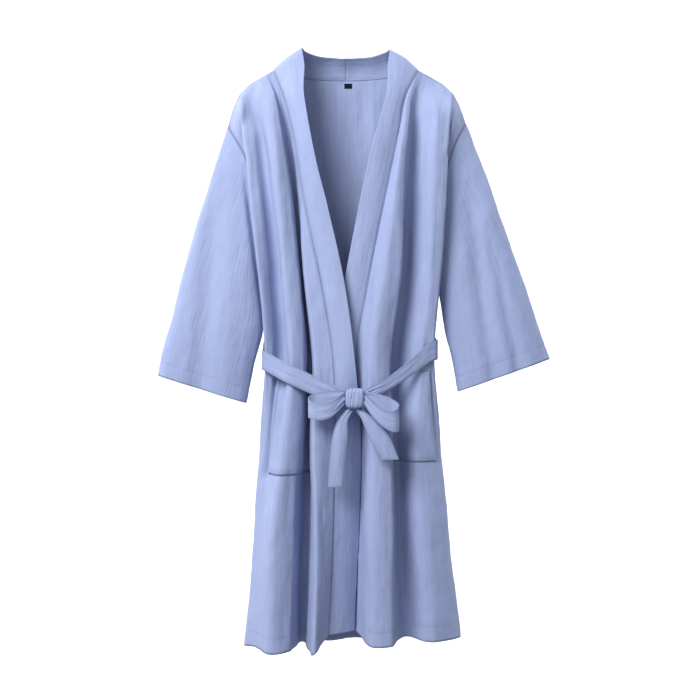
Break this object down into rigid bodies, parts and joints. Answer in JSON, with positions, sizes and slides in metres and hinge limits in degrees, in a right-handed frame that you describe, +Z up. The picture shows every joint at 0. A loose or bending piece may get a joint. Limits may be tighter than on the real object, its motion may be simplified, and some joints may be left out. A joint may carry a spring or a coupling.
{
  "type": "kimono robe",
  "caption": "Long belted kimono robe in plain cotton: wide band collar, dropped shoulders, open straight sleeves, patch pockets and a sash tied in a front bow, hanging filled out.",
  "frame": {"origin": "middle of the shoulder line, where a hanger or a neck carries the robe", "axes": "+Z up, the front faces -Y, +X towards the wearer's left, which is the image's right"},
  "size_m": [0.7536, 0.2103, 1.1479],
  "materials": {
    "cloth": "matt crinkled cotton",
    "label": "smooth woven tape"
  },
  "bodies": {
    "root": {"back": "cloth", "front_right": "cloth", "front_left": "cloth", "sleeve_right": "cloth", "sleeve_left": "cloth", "collar_right": "cloth", "collar_left": "cloth", "pocket_right": "cloth", "pocket_left": "cloth", "belt": "cloth", "belt_knot": "cloth", "bow_loop_right": "cloth", "bow_loop_left": "cloth", "belt_tail_right": "cloth", "belt_tail_left": "cloth", "neck_label": "label"}
  },
  "joints": []
}
